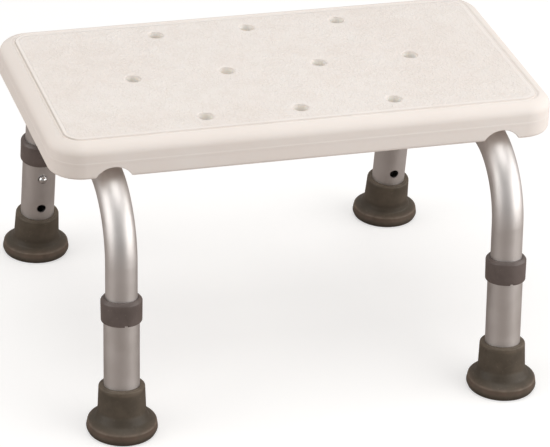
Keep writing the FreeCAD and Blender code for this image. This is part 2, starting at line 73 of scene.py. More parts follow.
def softened(corners, steps=ARC_STEPS):
    """Points of a line through (u, v, radius) corners, each corner rounded to its radius."""
    points = []
    for index, (u, v, radius) in enumerate(corners):
        here = Vector((u, v))
        if radius == 0 or index in (0, len(corners) - 1):
            points.append(here)
            continue
        before = (Vector(corners[index - 1][:2]) - here).normalized()
        after = (Vector(corners[index + 1][:2]) - here).normalized()
        half = math.acos(max(-1, min(1, before.dot(after)))) / 2
        reach = radius / math.tan(half)
        middle = here + (before + after).normalized() * (radius / math.sin(half))
        start = here + before * reach - middle
        end = here + after * reach - middle
        sweep = start.angle_signed(end)
        for step in range(steps + 1):
            turned = start.copy()
            turned.rotate(Matrix.Rotation(-sweep * step / steps, 2))
            points.append(middle + turned)
    return points


def loft(rings, closed=False):
    """A mesh of quads between rings of points, with flat ends or closed on itself."""
    mesh = bmesh.new()
    rows = [[mesh.verts.new(point) for point in ring] for ring in rings]
    following_rows = rows[1:] + rows[:1] if closed else rows[1:]
    for low, high in zip(rows, following_rows):
        for index in range(len(low)):
            following = (index + 1) % len(low)
            mesh.faces.new((low[index], low[following], high[following], high[index]))
    if not closed:
        mesh.faces.new(list(reversed(rows[0])))
        mesh.faces.new(rows[-1])
    bmesh.ops.recalc_face_normals(mesh, faces=mesh.faces)
    return mesh


def turned_rings(profile, steps=TURN_STEPS):
    """Rings of points for a (radius, height) profile turned about the Z axis."""
    rings = []
    for radius, height in profile:
        ring = []
        for step in range(steps):
            angle = math.tau * step / steps
            ring.append(Vector((radius * math.cos(angle), radius * math.sin(angle), height)))
        rings.append(ring)
    return rings


def rounded_ring(half_x, half_y, radius, z, steps):
    """Points round a rectangle with rounded corners."""
    points = []
    for turn in range(4):
        centre_x = (half_x - radius) * (1 if turn in (0, 3) else -1)
        centre_y = (half_y - radius) * (1 if turn in (0, 1) else -1)
        for step in range(steps + 1):
            angle = math.pi / 2 * (turn + step / steps)
            x = centre_x + radius * math.cos(angle)
            y = centre_y + radius * math.sin(angle)
            points.append(Vector((x, y, z)))
    return points


def object_from(name, mesh):
    """A new object from a bmesh."""
    data = bpy.data.meshes.new(name)
    mesh.to_mesh(data)
    mesh.free()
    obj = bpy.data.objects.new(name, data)
    bpy.context.scene.collection.objects.link(obj)
    return obj


def apply_modifiers(obj):
    """Puts the result of the object's modifiers into its mesh."""
    graph = bpy.context.evaluated_depsgraph_get()
    result = bpy.data.meshes.new_from_object(obj.evaluated_get(graph))
    obj.modifiers.clear()
    obj.data = result


def carved(obj, cutters):
    """The object with the cutters taken out of it."""
    group = bpy.data.collections.new(obj.name + "_cutters")
    for cutter in cutters:
        bpy.context.scene.collection.objects.unlink(cutter)
        group.objects.link(cutter)
    modifier = obj.modifiers.new("carve", "BOOLEAN")
    modifier.operand_type = "COLLECTION"
    modifier.collection = group
    modifier.solver = "EXACT"
    apply_modifiers(obj)
    for cutter in cutters:
        bpy.data.objects.remove(cutter)
    bpy.data.collections.remove(group)
    return obj


def shaded(obj, sharp_degrees=32):
    """Smooth shading with sharp edges kept, and with large flat faces left flat."""
    mesh = bmesh.new()
    mesh.from_mesh(obj.data)
    bmesh.ops.remove_doubles(mesh, verts=mesh.verts, dist=0.002 * MM)
    for face in mesh.faces:
        face.smooth = True
    for edge in mesh.edges:
        edge.smooth = edge.calc_face_angle(0) < math.radians(sharp_degrees)
    mesh.to_mesh(obj.data)
    mesh.free()
    modifier = obj.modifiers.new("weighted", "WEIGHTED_NORMAL")
    modifier.keep_sharp = True
    modifier.weight = 80
    apply_modifiers(obj)
    return obj


def finished(obj, material, slot, *nodes):
    """The piece in its material, in place of the CAD nodes."""
    obj.data.materials.clear()
    obj.data.materials.append(material)
    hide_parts(*nodes)
    return obj


def placed(obj, material, slot, body, *nodes):
    """The finished piece, riding on its body."""
    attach(obj, body)
    return finished(obj, material, slot, *nodes)


# ---------------------------------------------------------------- material nodes

def new_material(name):
    """A node material and its shader."""
    material = bpy.data.materials.new(name)
    material.use_nodes = True
    return material, material.node_tree.nodes["Principled BSDF"]


def connect(material, value, socket):
    """Links an output to a socket, or sets the socket's value."""
    if isinstance(value, bpy.types.NodeSocket):
        material.node_tree.links.new(value, socket)
    else:
        socket.default_value = value


def add(material, kind, inputs=None, **settings):
    """A node with its settings, and with inputs that are values or other nodes' outputs."""
    node = material.node_tree.nodes.new(kind)
    for name, value in settings.items():
        setattr(node, name, value)
    for key, value in (inputs or {}).items():
        connect(material, value, node.inputs[key])
    return node


def maths(material, operation, *values):
    """The output of a math node."""
    node = add(material, "ShaderNodeMath", operation=operation)
    for index, value in enumerate(values):
        connect(material, value, node.inputs[index])
    return node.outputs[0]


def product(material, first, *others):
    """The values multiplied together."""
    for value in others:
        first = maths(material, "MULTIPLY", first, value)
    return first


def ranged(material, value, source, target):
    """A value carried smoothly from a (low, high) range to another."""
    limits = {
        "From Min": source[0],
        "From Max": source[1],
        "To Min": target[0],
        "To Max": target[1],
    }
    node = add(
        material,
        "ShaderNodeMapRange",
        {"Value": value, **limits},
        interpolation_type="SMOOTHSTEP",
    )
    return node.outputs["Result"]


def band(material, value, middle, reach, strength):
    """A mask that is strong where a value is near the middle, and fades over the reach."""
    distance = maths(material, "ABSOLUTE", maths(material, "SUBTRACT", value, middle))
    return ranged(material, distance, reach, (strength, 0.0))


def mixed(material, share, first, second):
    """A colour between two colours."""
    node = add(material, "ShaderNodeMix", data_type="RGBA")
    connect(material, share, node.inputs["Factor"])
    connect(material, first, node.inputs["A"])
    connect(material, second, node.inputs["B"])
    return node.outputs["Result"]


def noise(material, coordinates, scale, detail=3.0, roughness=0.5):
    """The value of a noise texture, with its scale in features per metre."""
    node = add(
        material,
        "ShaderNodeTexNoise",
        {"Vector": coordinates, "Scale": scale, "Detail": detail, "Roughness": roughness},
    )
    return node.outputs["Fac"]


def bumped(material, height, distance, strength=1.0, below=None):
    """A normal from a height, on top of another normal if one is given."""
    node = add(
        material,
        "ShaderNodeBump",
        {"Height": height, "Distance": distance, "Strength": strength},
    )
    if below is not None:
        connect(material, below, node.inputs["Normal"])
    return node.outputs["Normal"]


def object_coordinates(material):
    """A point's place on the object, in metres."""
    return add(material, "ShaderNodeTexCoord").outputs["Object"]


def varied(material, amount, *parts):
    """A roughness: an amount with (value, share) parts added to it."""
    for value, share in parts:
        amount = maths(material, "ADD", amount, maths(material, "MULTIPLY", value, share))
    return amount


# ---------------------------------------------------------------- materials

WARM_WHITE = (0.906, 0.846, 0.806, 1)
PALE_WHITE = (0.924, 0.873, 0.837, 1)
# Painted shade between the pebbles, in the groove and on the border, and painted light on the drain
# holes' walls.
PIT_SHADE_TINT = (0.66, 0.57, 0.50, 1)
GROOVE_SHADE_TINT = (0.57, 0.515, 0.47, 1)
BORDER_SHADE_TINT = (0.815, 0.752, 0.706, 1)
HOLE_LIGHT_TINT = (0.985, 0.940, 0.890, 1)
HOLE_GLOW_TINT = (1.0, 0.88, 0.78, 1)
HOLE_GLOW = 0.03
PEBBLES_PER_METRE = 460.0

RUBBER_LIGHT = (0.106, 0.085, 0.063, 1)
RUBBER_DARK = (0.077, 0.062, 0.046, 1)
RUBBER_RIM = (0.150, 0.098, 0.076, 1)
# Painted shade low on the foot and in the waist, and painted highlights on the rim's edge and the
# lip.
RUBBER_FOOT_SHADE = (0.050, 0.041, 0.032, 1)
RUBBER_WAIST_SHADE = (0.052, 0.042, 0.031, 1)
RUBBER_EDGE_HIGHLIGHT = (0.200, 0.160, 0.122, 1)
RUBBER_LIP_HIGHLIGHT = (0.190, 0.150, 0.112, 1)


def outside_distance(material, x, y, half_x, half_y, corner):
    """How far a point is outside a rounded rectangle, and less than 0 well inside it."""
    squares = []
    for value, half in ((x, half_x), (y, half_y)):
        past = maths(material, "SUBTRACT", maths(material, "ABSOLUTE", value), half - corner)
        squares.append(maths(material, "POWER", maths(material, "MAXIMUM", past, 0.0), 2.0))
    reach = maths(material, "SQRT", maths(material, "ADD", *squares))
    return maths(material, "SUBTRACT", reach, corner)


def pebble_pattern(material, where):
    """Small pebbles with bent outlines: 1 at their middles and less between them."""
    warp = add(material, "ShaderNodeTexNoise", {"Vector": where, "Scale": 260.0, "Detail": 2.0})
    bent = add(material, "ShaderNodeMix", {"Factor": 0.004}, data_type="VECTOR")
    connect(material, where, bent.inputs["A"])
    connect(material, warp.outputs["Color"], bent.inputs["B"])
    cells = add(
        material,
        "ShaderNodeTexVoronoi",
        {"Vector": bent.outputs["Result"], "Scale": PEBBLES_PER_METRE, "Smoothness": 0.5},
        feature="SMOOTH_F1",
    )
    return maths(material, "SUBTRACT", 1.0, cells.outputs["Distance"])


def seat_plastic(half_x, half_y, corner, top):
    """Warm white moulded plastic: pebble grain inside the groove, and a smooth border.

    The half sizes and the corner's radius are the grained field's.
    """
    material, shader = new_material("seat_plastic")
    where = object_coordinates(material)
    split = add(material, "ShaderNodeSeparateXYZ", {"Vector": where})
    x, y, z = (split.outputs[letter] for letter in "XYZ")
    outside = outside_distance(material, x, y, half_x, half_y, corner)

    # Masks: the upper face, the grained field on it, and the walls of the drain holes.
    upper = ranged(material, z, (top - 1.4 * MM, top - 0.3 * MM), (0.0, 1.0))
    field = product(material, ranged(material, outside, (-0.8 * MM, 0.4 * MM), (1.0, 0.0)), upper)
    buried = product(
        material,
        ranged(material, z, (top - 2.5 * MM, top - 0.8 * MM), (1.0, 0.0)),
        ranged(material, outside, (-8.0 * MM, -4.0 * MM), (1.0, 0.0)),
        ranged(material, z, (top - 22 * MM, top - 17 * MM), (0.0, 1.0)),
    )

    # Relief: slow waves, a fine mould finish, and the grain.
    pebbles = pebble_pattern(material, where)
    grain = maths(material, "ADD", pebbles, product(material, noise(material, where, 1200.0), 0.4))
    normal = bumped(material, noise(material, where, 22.0, 1.0), 0.8 * MM, 0.3)
    normal = bumped(material, noise(material, where, 1500.0, 2.0), 0.03 * MM, 0.5, normal)
    normal = bumped(material, product(material, grain, field), 0.70 * MM, 1.0, normal)
    connect(material, normal, shader.inputs["Normal"])

    # Colour: mottled white, with painted shade between the pebbles, on the border and in the
    # groove.
    # The border and groove get more painted shade at the seat's left end.
    mottle = ranged(material, noise(material, where, 14.0, 2.0), (0.35, 0.65), (0.0, 1.0))
    colour = mixed(material, mottle, WARM_WHITE, PALE_WHITE)
    # Painted shade in the pits between the pebbles, in patches.
    pit_shade = ranged(material, pebbles, (0.35, 0.85), (1.0, 0.0))
    cloud = ranged(material, noise(material, where, 60.0), (0.4, 0.6), (0.3, 1.0))
    colour = mixed(material, product(material, pit_shade, cloud, field, 0.16), colour, PIT_SHADE_TINT)
    # Painted shade on the border's top, and down the side of the left end, strongest at the left
    # end.
    border = ranged(material, outside, (4.4 * MM, 5.6 * MM), (0.0, 1.0))
    brow = ranged(material, z, (top - 9 * MM, top - 2 * MM), (0.0, 1.0))
    flank = ranged(material, x, (-half_x - 6 * MM, -half_x + 40 * MM), (1.0, 0.0))
    border_shade_share = ranged(material, x, (-half_x, -half_x + corner), (0.75, 0.45))
    border = product(material, border, maths(material, "MAXIMUM", brow, flank), border_shade_share)
    colour = mixed(material, border, colour, BORDER_SHADE_TINT)
    # Painted shade in the groove, strongest at the seat's left end.
    valley = band(material, outside, 3.6 * MM, (0.5 * MM, 1.5 * MM), 1.0)
    groove_shade_share = ranged(material, x, (-half_x, -half_x + corner), (1.0, 0.45))
    colour = mixed(material, product(material, valley, upper, groove_shade_share), colour, GROOVE_SHADE_TINT)
    # The walls of the drain holes are painted lighter: painted light.
    colour = mixed(material, buried, colour, HOLE_LIGHT_TINT)
    connect(material, colour, shader.inputs["Base Color"])

    # Light comes through the plastic, and most of all through the walls of the holes. The holes'
    # walls also glow faintly: painted light.
    scatter = ranged(material, buried, (0.0, 1.0), (0.20, 0.8))
    connect(material, scatter, shader.inputs["Subsurface Weight"])
    shader.inputs["Subsurface Scale"].default_value = 5 * MM
    shader.inputs["Subsurface Radius"].default_value = (1.0, 0.92, 0.85)
    connect(material, product(material, buried, HOLE_GLOW), shader.inputs["Emission Strength"])
    shader.inputs["Emission Color"].default_value = HOLE_GLOW_TINT

    rough = varied(material, 0.56, (field, 0.02), (noise(material, where, 90.0), 0.08))
    connect(material, rough, shader.inputs["Roughness"])
    shader.inputs["Specular IOR Level"].default_value = 0.28
    return material


def aluminium(name, light, dark, roughness):
    """Satin anodised tube: fine draw lines along it, and a soft bloom that varies."""
    material, shader = new_material(name)
    where = object_coordinates(material)
    lines = add(material, "ShaderNodeMapping", {"Vector": where, "Scale": (1.0, 0.06, 0.06)})
    drawn = noise(material, lines.outputs["Vector"], 1500.0, 4.0, 0.6)
    cloud = ranged(material, noise(material, where, 45.0, 2.0), (0.3, 0.7), (0.0, 1.0))
    connect(material, mixed(material, cloud, dark, light), shader.inputs["Base Color"])
    rough = varied(material, roughness, (drawn, 0.12), (cloud, 0.03))
    connect(material, rough, shader.inputs["Roughness"])
    normal = bumped(material, drawn, 0.02 * MM, 0.5)
    normal = bumped(material, noise(material, where, 3500.0, 2.0), 0.01 * MM, 0.6, normal)
    connect(material, normal, shader.inputs["Normal"])
    shader.inputs["Metallic"].default_value = 1.0
    return material


def moulded(name, light, dark, roughness, grain, specular):
    """Dark moulded plastic or rubber, with fine grain, dusty patches and faint scuffs.

    Gives the material and its colour, so that more can be laid over it.
    """
    material, shader = new_material(name)
    where = object_coordinates(material)
    cloud = ranged(material, noise(material, where, 70.0, 4.0, 0.6), (0.3, 0.7), (0.0, 1.0))
    colour = mixed(material, cloud, dark, light)
    scuff = ranged(material, noise(material, where, 420.0, 5.0, 0.65), (0.60, 0.74), (0.0, 0.5))
    scuff_tint = tuple(2.0 * part for part in light[:3]) + (1,)
    colour = mixed(material, scuff, colour, scuff_tint)
    connect(material, colour, shader.inputs["Base Color"])
    connect(material, varied(material, roughness, (cloud, 0.12)), shader.inputs["Roughness"])
    normal = bumped(material, noise(material, where, 260.0, 2.0), 0.10 * MM, 0.25)
    normal = bumped(material, noise(material, where, 2200.0), grain, 0.7, normal)
    connect(material, normal, shader.inputs["Normal"])
    shader.inputs["Specular IOR Level"].default_value = specular
    return material, colour


def tip_rubber():
    """Olive-brown rubber: a warm rim to the foot, painted shade low on the foot and in the waist,
    and painted highlights on the rim's edge and the lip.
    """
    material, colour = moulded(
        "tip_rubber", RUBBER_LIGHT, RUBBER_DARK, roughness=0.42, grain=0.05 * MM, specular=0.3,
    )
    where = object_coordinates(material)
    height = add(material, "ShaderNodeSeparateXYZ", {"Vector": where}).outputs["Z"]
    patchy = ranged(material, noise(material, where, 120.0), (0.35, 0.65), (0.4, 1.0))
    rim = band(material, height, 7.5 * MM, (0.8 * MM, 4.0 * MM), 0.55)
    # Painted shade: darker towards the bottom of the foot, and in the waist's hollow.
    tread = ranged(material, height, (1.5 * MM, 6.5 * MM), (0.6, 0.0))
    waist = band(material, height, 15.0 * MM, (1.5 * MM, 6.0 * MM), 0.55)
    # Painted highlights on the rim's upper edge and on the sleeve's lip.
    edge = band(material, height, 9.0 * MM, (0.2 * MM, 1.1 * MM), 0.55)
    lip = ranged(material, height, (SLEEVE_TOP - 3.5 * MM, SLEEVE_TOP - 0.5 * MM), (0.0, 0.5))
    layers = (
        (product(material, rim, patchy), RUBBER_RIM),
        (tread, RUBBER_FOOT_SHADE),
        (waist, RUBBER_WAIST_SHADE),
        (product(material, edge, patchy), RUBBER_EDGE_HIGHLIGHT),
        (product(material, lip, patchy), RUBBER_LIP_HIGHLIGHT),
    )
    for share, tint in layers:
        colour = mixed(material, share, colour, tint)
    connect(material, colour, material.node_tree.nodes["Principled BSDF"].inputs["Base Color"])
    return material


def metal(name, light, dark, roughness):
    """A plain metal with fine turning marks and slight tarnish."""
    material, shader = new_material(name)
    where = object_coordinates(material)
    cloud = noise(material, where, 300.0, 4.0, 0.6)
    tarnish = ranged(material, cloud, (0.35, 0.65), (0.0, 1.0))
    connect(material, mixed(material, tarnish, dark, light), shader.inputs["Base Color"])
    connect(material, varied(material, roughness, (cloud, 0.10)), shader.inputs["Roughness"])
    normal = bumped(material, noise(material, where, 3000.0, 2.0), 0.01 * MM, 0.5)
    connect(material, normal, shader.inputs["Normal"])
    shader.inputs["Metallic"].default_value = 1.0
    return material


# ---------------------------------------------------------------- sizes

SEAT_LOW, SEAT_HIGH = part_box("seat_board")
SEAT_RIDGE = 0.25 * MM              # how far the CAD's parting line stands out of its sides
SEAT_HALF_X = SEAT_HIGH.x - SEAT_RIDGE
SEAT_HALF_Y = SEAT_HIGH.y - SEAT_RIDGE
SEAT_TOP = SEAT_HIGH.z
SEAT_BOTTOM = SEAT_LOW.z
SEAT_CORNER = 26 * MM
SEAT_CORNER_STEPS = 16
EDGE_REACH = 13 * MM                # the rounded upper edge, from the side inwards
EDGE_DROP = 9.5 * MM
EDGE_SWEEP = math.radians(66)
EDGE_STEPS = 14
RIDGE_Z = SEAT_BOTTOM + 14 * MM     # the parting line
PARTING_RISE = 0.17 * MM
FIELD_INSET = 15.5 * MM             # from the seat's side to the grained field

DRAIN_PITCH = 78 * MM
DRAIN_ROWS = ((-1, 3), (0, 4), (1, 3))      # each row's side of the middle, and its holes
DRAIN_ROW_SPACING = 76.6 * MM
DRAIN_RADIUS = 5.75 * MM
DRAIN_RIM = 2.2 * MM
DRAIN_UNDER_RIM = 1.0 * MM
DRAIN_RIM_STEPS = 8

NOTCH_RADIUS = 16.8 * MM
NOTCH_FLARE = 3.5 * MM
NOTCH_DEPTH = 18 * MM
NOTCH_LIP = 1.0 * MM
NOTCH_STEPS = 32
CHANNEL_STEPS = 96
TROUGH_HALF_LENGTH = 105 * MM
TROUGH_HALF_WIDTH = 8 * MM
TROUGH_DEPTH = 8 * MM
TROUGH_END_STEPS = 12
REACH_PAST = 5 * MM                 # how far a cutter stands out of the face that it cuts

TUBE_LOW, TUBE_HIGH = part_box("frame_tube_right")
TUBE_X = (TUBE_LOW.x + TUBE_HIGH.x) / 2
TUBE_RADIUS = (TUBE_HIGH.x - TUBE_LOW.x) / 2
TUBE_RUN_Z = TUBE_HIGH.z - TUBE_RADIUS
CHANNEL_RADIUS = TUBE_RADIUS + 0.05 * MM
LEG_RADIUS = 14.2875 * MM           # a 1-1/8 inch tube
LEG_TOP = 110 * MM

COLLAR_LOW = 94 * MM                # heights up the leg's axis, from the floor
COLLAR_HIGH = 114 * MM
COLLAR_RADIUS = 16.5 * MM
COLLAR_START = COLLAR_LOW + 6 * MM  # on the inner wall, where the closed profile starts
COLLAR_NOTCH_HALF = 1.5 * MM
COLLAR_NOTCH_HEIGHT = 1.6 * MM
LIP_RADIUS = TUBE_RADIUS + 0.1 * MM

SOCKET_FLOOR = 9.5 * MM
SLEEVE_TOP = 39.5 * MM
SLEEVE_RADIUS = 18.4 * MM
FOOT_RADIUS = 28.5 * MM
TREAD_RINGS = (9 * MM, 15 * MM, 21 * MM)    # radii of the grooves under the tip
TREAD_DEPTH = 1.2 * MM
FLARE_FROM = 9 * MM                 # where the foot's level rings start to lean with the leg
FLARE_TO = 17 * MM

BUTTON_STATION = 81 * MM            # up the leg. The button's own sizes are from the leg's axis
BUTTON_TOP = 18.3 * MM
BUTTON_DOME = 3.97 * MM
BUTTON_RADIUS = 3.5 * MM
BUTTON_STEPS = 14
FLANGE_TOP = 10.4 * MM
FLANGE_RADIUS = 4.7 * MM
RIVET_END = 7.8 * MM
RIVET_HEAD_RADIUS = 2.4 * MM
RIVET_RADIUS = 1.5 * MM
RIVET_HOLE_RADIUS = 1.6 * MM
RIVET_HOLE = (7 * MM, 11 * MM)
RIVET_HOLE_STEPS = 32

SPRING_FACE = 9.3 * MM              # from the leg's axis to the face under the flange
SPRING_THICKNESS = 0.7 * MM
SPRING_HALF_WIDTH = 4 * MM
SPRING_BEND = 2.65 * MM
SPRING_LOW = 73 * MM
SPRING_LEAN = 90 * MM               # where the front arm turns towards the bend
SPRING_CROWN = 112 * MM


# ---------------------------------------------------------------- seat

def seat_edge_profile():
    """(inset, z) points from the field, through the groove and round the edge, to the underside."""
    groove = softened([
        (14.0 * MM, SEAT_TOP, 0),
        (12.5 * MM, SEAT_TOP - 0.02 * MM, 0.5 * MM),
        (11.7 * MM, SEAT_TOP - 1.35 * MM, 0.5 * MM),
        (10.9 * MM, SEAT_TOP - 1.35 * MM, 0.6 * MM),
        (9.6 * MM, SEAT_TOP - 0.32 * MM, 0.8 * MM),
        (8.6 * MM, SEAT_TOP - 0.56 * MM, 0),
    ])
    edge = []
    for step in range(EDGE_STEPS + 1):
        angle = EDGE_SWEEP * (1 - step / EDGE_STEPS)
        inset = EDGE_REACH * (1 - math.cos(angle))
        edge.append(Vector((inset, SEAT_TOP - EDGE_DROP * (1 - math.sin(angle)))))
    side = softened([
        (0.0, SEAT_TOP - EDGE_DROP - 0.1 * MM, 0),
        (0.0, RIDGE_Z + 1.0 * MM, 0.8 * MM),
        (-PARTING_RISE, RIDGE_Z, 0.8 * MM),
        (0.0, RIDGE_Z - 2.6 * MM, 3.0 * MM),
        (0.0, SEAT_BOTTOM, 3.5 * MM),
        (5.0 * MM, SEAT_BOTTOM, 0),
    ])
    return groove + edge + side


def drain_cutter(x, y):
    """A drain hole with rounded rims above and below."""
    profile = [(DRAIN_RADIUS + DRAIN_RIM, SEAT_TOP + REACH_PAST)]
    for step in range(DRAIN_RIM_STEPS + 1):
        angle = math.pi / 2 * step / DRAIN_RIM_STEPS
        radius = DRAIN_RADIUS + DRAIN_RIM * (1 - math.sin(angle))
        profile.append((radius, SEAT_TOP + HAIR - DRAIN_RIM * (1 - math.cos(angle))))
    for step in range(ARC_STEPS + 1):
        angle = math.pi / 2 * step / ARC_STEPS
        radius = DRAIN_RADIUS + DRAIN_UNDER_RIM * (1 - math.cos(angle))
        profile.append((radius, SEAT_BOTTOM - HAIR + DRAIN_UNDER_RIM * (1 - math.sin(angle))))
    profile.append((DRAIN_RADIUS + DRAIN_UNDER_RIM, SEAT_BOTTOM - REACH_PAST))
    cutter = object_from("drain_cutter", loft(turned_rings(profile, SMALL_TURN_STEPS)))
    cutter.data.transform(Matrix.Translation((x, y, 0)))
    return cutter


def arch_points(grown):
    """(x, z) points round a notch grown by a distance, from its right foot to its left."""
    radius = NOTCH_RADIUS + grown
    flare = NOTCH_FLARE - grown
    gap = NOTCH_RADIUS + NOTCH_FLARE
    flare_z = SEAT_BOTTOM + NOTCH_FLARE
    rise = flare_z - TUBE_RUN_Z
    foot = math.sqrt(gap ** 2 - rise ** 2)
    tangent = math.atan2(rise, foot)
    right = [(foot, SEAT_BOTTOM - REACH_PAST)]
    for step in range(ARC_STEPS + 1):
        angle = -math.pi / 2 - (math.pi / 2 - tangent) * step / ARC_STEPS
        right.append((foot + flare * math.cos(angle), flare_z + flare * math.sin(angle)))
    arch = []
    for step in range(1, NOTCH_STEPS):
        angle = tangent + (math.pi - 2 * tangent) * step / NOTCH_STEPS
        arch.append((radius * math.cos(angle), TUBE_RUN_Z + radius * math.sin(angle)))
    left = [(-x, z) for x, z in reversed(right)]
    return right + arch + left


def notch_cutter(x, side):
    """The arch over a bent tube, with a rounded lip at the seat's side."""
    face = SEAT_HALF_Y + HAIR
    depths = [(-REACH_PAST, NOTCH_LIP)]
    for step in range(ARC_STEPS + 1):
        angle = math.pi / 2 * step / ARC_STEPS
        depths.append((NOTCH_LIP * (1 - math.cos(angle)), NOTCH_LIP * (1 - math.sin(angle))))
    depths.append((NOTCH_DEPTH, 0.0))
    rings = []
    for depth, grown in depths:
        y = side * (face - depth)
        rings.append([Vector((x + across, y, z)) for across, z in arch_points(grown)])
    return object_from("notch_cutter", loft(rings))


def channel_cutter(x):
    """The half-round channel that the tube's run lies in."""
    half = SEAT_HALF_Y - NOTCH_DEPTH + 1 * MM
    rings = turned_rings([(CHANNEL_RADIUS, -half), (CHANNEL_RADIUS, half)], CHANNEL_STEPS)
    cutter = object_from("channel_cutter", loft(rings))
    turn = Matrix.Rotation(math.pi / 2, 4, "X")
    cutter.data.transform(Matrix.Translation((x, 0, TUBE_RUN_Z)) @ turn)
    return cutter


def trough_cutter(side):
    """A long round-ended trough in the underside, with a rounded mouth and floor."""
    profile = softened([
        (3 * MM, SEAT_BOTTOM - REACH_PAST, 0),
        (3 * MM, SEAT_BOTTOM - 0.02 * MM, 0),
        (0.0, SEAT_BOTTOM - 0.02 * MM, 1.5 * MM),
        (-1.2 * MM, SEAT_BOTTOM + TROUGH_DEPTH, 2.5 * MM),
        (-5 * MM, SEAT_BOTTOM + TROUGH_DEPTH, 0),
    ])
    offset = Vector((0, side * DRAIN_ROW_SPACING / 2, 0))
    rings = []
    for grown, z in profile:
        half_width = TROUGH_HALF_WIDTH + grown
        half_length = TROUGH_HALF_LENGTH + grown
        ring = rounded_ring(half_length, half_width, half_width - HAIR, z, TROUGH_END_STEPS)
        rings.append([point + offset for point in ring])
    return object_from("trough_cutter", loft(rings))


def seat():
    """The seat: rounded board, groove, parting line, drain holes, notches and channels."""
    rings = []
    for inset, z in seat_edge_profile():
        corner = SEAT_CORNER - inset
        half_x, half_y = SEAT_HALF_X - inset, SEAT_HALF_Y - inset
        rings.append(rounded_ring(half_x, half_y, corner, z, SEAT_CORNER_STEPS))
    board = object_from("seat", loft(rings))
    cutters = []
    for row, count in DRAIN_ROWS:
        for number in range(count):
            x = (number - (count - 1) / 2) * DRAIN_PITCH
            cutters.append(drain_cutter(x, row * DRAIN_ROW_SPACING))
    for side in (-1, 1):
        cutters.append(channel_cutter(side * TUBE_X))
        cutters.append(trough_cutter(side))
        for end in (-1, 1):
            cutters.append(notch_cutter(end * TUBE_X, side))
    board = shaded(carved(board, cutters))
    return placed(board, SEAT_PLASTIC, "seat_plastic", "root", "seat_board")


# ---------------------------------------------------------------- legs

def leg_matrix(leg):
    """The leg's own frame: Z up the leg from the floor, and its inner side towards -Y."""
    up = Vector(JOINTS["height_" + leg]["axis"]).normalized()
    outward = Vector(JOINTS["press_" + leg]["axis"]).normalized()
    low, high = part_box("rubber_tip_" + leg)
    foot = Vector(((low.x + high.x) / 2, (low.y + high.y) / 2, 0))
    turn = Matrix((outward.cross(up), outward, up)).transposed()
    return Matrix.Translation(foot) @ turn.to_4x4()


def button_matrix():
    """The button's own frame, in the leg's: Z from the leg's axis to the inner side."""
    return Matrix.Translation((0, 0, BUTTON_STATION)) @ Matrix.Rotation(math.pi / 2, 4, "X")


def collar(leg):
    """The collar: softened edges, a lip that closes on the upper tube and a small notch below."""
    profile = softened([
        (LEG_RADIUS, COLLAR_START, 0),
        (LEG_RADIUS, COLLAR_LOW, 0.3 * MM),
        (COLLAR_RADIUS - 0.2 * MM, COLLAR_LOW, 1.3 * MM),
        (COLLAR_RADIUS, COLLAR_HIGH - 2.2 * MM, 2.0 * MM),
        (COLLAR_RADIUS - 1.7 * MM, COLLAR_HIGH - 0.2 * MM, 1.0 * MM),
        (LIP_RADIUS, COLLAR_HIGH, 0.5 * MM),
        (LIP_RADIUS, LEG_TOP, 0),
        (LEG_RADIUS, LEG_TOP, 0),
    ])
    ring = object_from("collar_body_" + leg, loft(turned_rings(profile), closed=True))
    near, far = LEG_RADIUS - REACH_PAST, COLLAR_RADIUS + REACH_PAST
    corners = []
    for z in (COLLAR_LOW - REACH_PAST, COLLAR_LOW + COLLAR_NOTCH_HEIGHT):
        corners.append([
            Vector((-COLLAR_NOTCH_HALF, near, z)),
            Vector((COLLAR_NOTCH_HALF, near, z)),
            Vector((COLLAR_NOTCH_HALF, far, z)),
            Vector((-COLLAR_NOTCH_HALF, far, z)),
        ])
    ring = carved(ring, [object_from("collar_cutter", loft(corners))])
    ring.data.transform(leg_matrix(leg))
    return placed(shaded(ring), COLLAR_PLASTIC, "collar_plastic", "leg_" + leg, "collar_" + leg)


def tip_profile():
    """(radius, height) points of the rubber tip, from the middle of its tread to its socket."""
    corners = [(AXIS_RADIUS, 0, 0)]
    for radius in TREAD_RINGS:
        corners += [
            (radius - 0.9 * MM, 0, 0.25 * MM),
            (radius - 0.7 * MM, TREAD_DEPTH, 0.3 * MM),
            (radius + 0.7 * MM, TREAD_DEPTH, 0.3 * MM),
            (radius + 0.9 * MM, 0, 0.25 * MM),
        ]
    corners += [
        (FOOT_RADIUS - 1.6 * MM, 0, 1.0 * MM),
        (FOOT_RADIUS, 3.4 * MM, 2.5 * MM),
        (FOOT_RADIUS - 1.0 * MM, 9.2 * MM, 1.3 * MM),
        (SLEEVE_RADIUS + 3.0 * MM, 12.2 * MM, 3.2 * MM),
        (SLEEVE_RADIUS + 0.9 * MM, 17.5 * MM, 6.0 * MM),
        (SLEEVE_RADIUS, SLEEVE_TOP - 0.4 * MM, 1.7 * MM),
        (LEG_RADIUS + 0.3 * MM, SLEEVE_TOP, 0.3 * MM),
        (LEG_RADIUS, SLEEVE_TOP - 0.6 * MM, 0.2 * MM),
        (LEG_RADIUS, SOCKET_FLOOR, 0.4 * MM),
        (AXIS_RADIUS, SOCKET_FLOOR, 0),
    ]
    return softened(corners)


